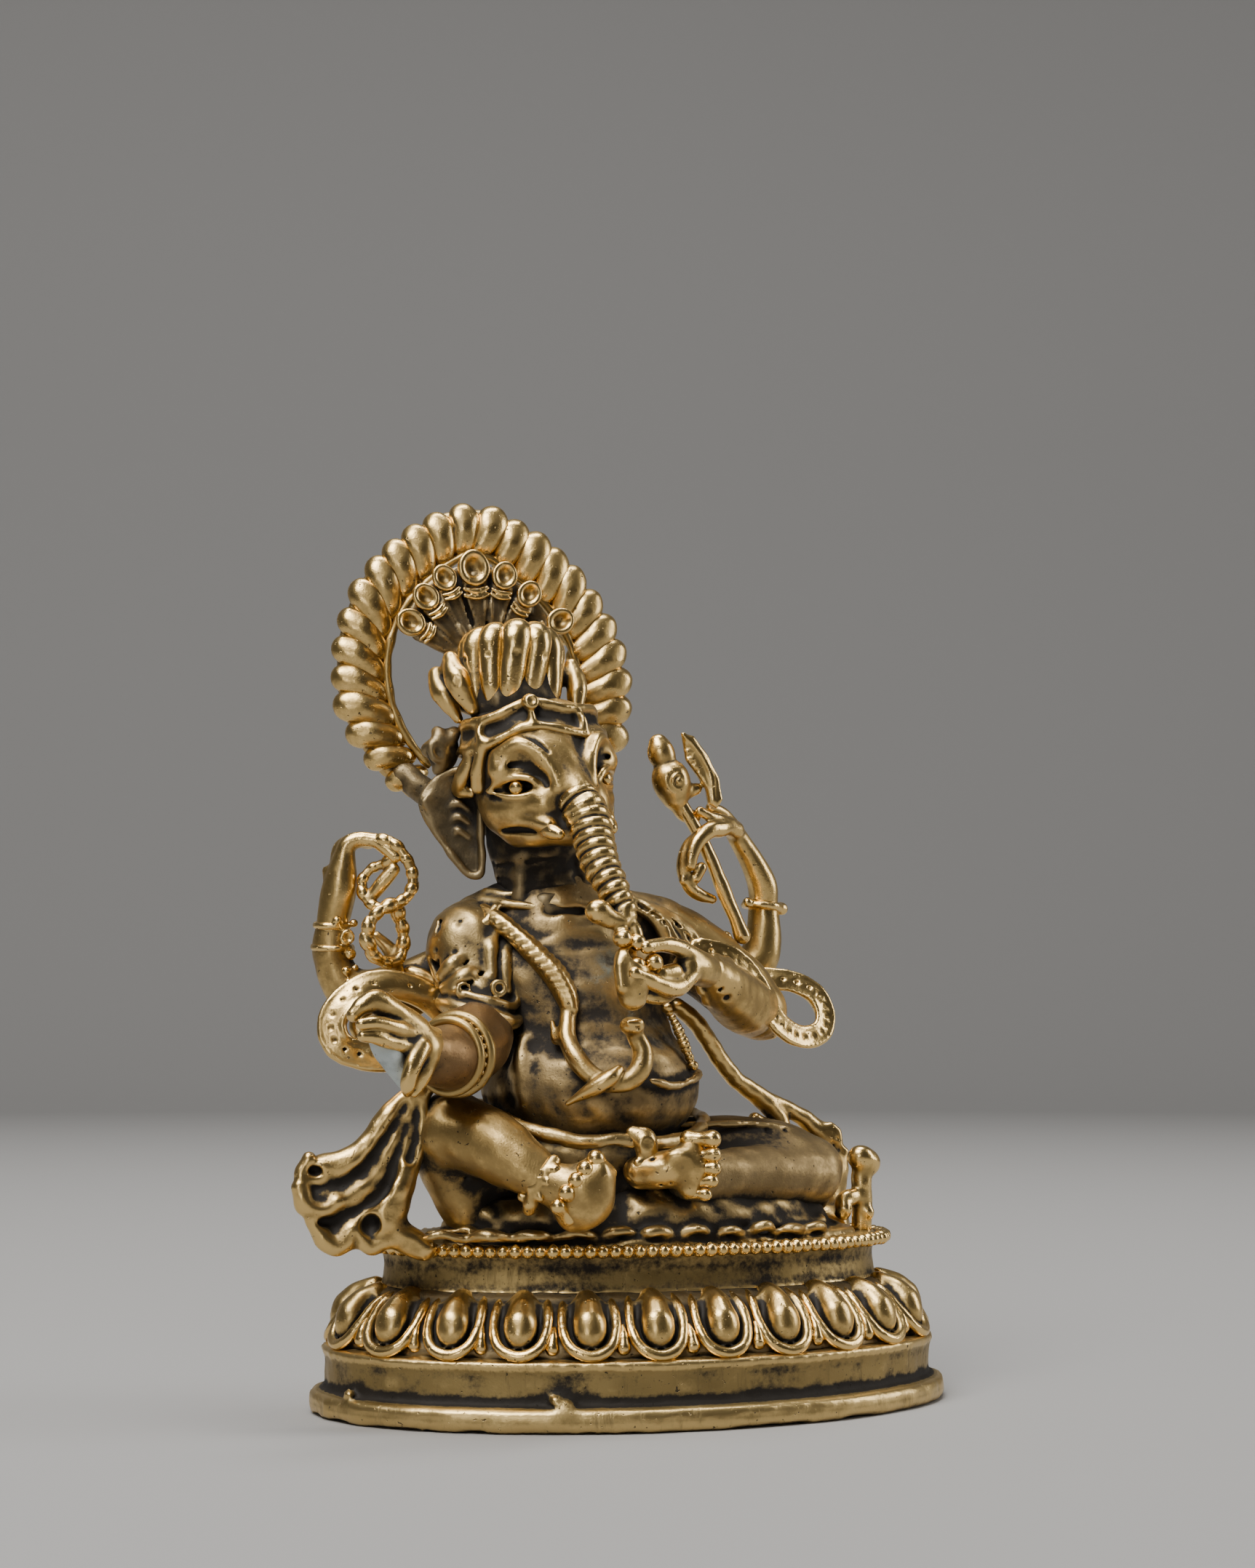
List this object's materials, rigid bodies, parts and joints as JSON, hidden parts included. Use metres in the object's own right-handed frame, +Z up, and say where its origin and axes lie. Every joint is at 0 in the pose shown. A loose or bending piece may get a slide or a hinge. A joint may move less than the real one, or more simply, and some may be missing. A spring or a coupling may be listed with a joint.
{
  "type": "hindu deity statue",
  "caption": "Cast brass figurine of a seated elephant-headed deity with four arms and a rope-edged halo, on an oval lotus pedestal; an ornament for a shelf or altar.",
  "frame": {"origin": "the middle of the pedestal's flat oval underside", "axes": "+Z up; -Y the way the figure faces; +X towards the figure's own left arm, along the oval's long axis"},
  "size_m": [0.0731, 0.0486, 0.1008],
  "materials": {
    "aged_brass_base": "cast and filed, semi-gloss, dark patina in the recesses",
    "bright_brass": "polished by handling on the high points",
    "aged_brass_body": "cast, worn satin, brown patina",
    "dark_patina_brass": "cast, dull brown to black patina"
  },
  "bodies": {
    "root": {"pedestal_shell": "aged_brass_base", "seat_plate": "aged_brass_base", "base_plate": "aged_brass_base", "lotus_petals": "bright_brass", "petal_tips": "bright_brass", "edge_beads": "bright_brass", "halo_ring": "bright_brass", "halo_rim": "bright_brass", "crown_petals": "bright_brass", "axe_shaft": "bright_brass", "axe_head": "bright_brass", "mouse_figure": "bright_brass", "sweets": "bright_brass", "loop_chain": "bright_brass", "rear_bracelets": "bright_brass", "torso": "aged_brass_body", "waist_belt": "aged_brass_body", "belt_clasp": "aged_brass_body", "serpent_thread": "aged_brass_body", "neck": "aged_brass_body", "head": "aged_brass_body", "trunk": "aged_brass_body", "right_ear": "aged_brass_body", "left_ear": "aged_brass_body", "tusks": "aged_brass_body", "eyes": "aged_brass_body", "headband": "aged_brass_body", "crown_core": "aged_brass_body", "feather_rings": "aged_brass_body", "feather_fan": "aged_brass_body", "right_ear_ornament": "aged_brass_body", "left_ear_ornament": "aged_brass_body", "halo_bridge": "aged_brass_body", "right_upper_arm": "aged_brass_body", "right_forearm": "aged_brass_body", "right_cuff": "aged_brass_body", "right_hand": "aged_brass_body", "held_tusk": "aged_brass_body", "left_upper_arm": "aged_brass_body", "left_forearm": "aged_brass_body", "left_hand": "aged_brass_body", "sweet_bowl": "aged_brass_body", "right_rear_arm": "aged_brass_body", "left_rear_arm": "aged_brass_body", "right_rear_hand": "aged_brass_body", "left_rear_hand": "aged_brass_body", "right_leg": "aged_brass_body", "left_leg": "aged_brass_body", "right_foot": "aged_brass_body", "left_foot": "aged_brass_body", "anklet": "aged_brass_body", "dhoti_hem": "dark_patina_brass", "shoulder_scarf": "dark_patina_brass", "right_sash_loop": "dark_patina_brass", "right_drapery": "dark_patina_brass", "left_sash_loop": "dark_patina_brass", "left_sash_tail": "dark_patina_brass"}
  },
  "joints": []
}
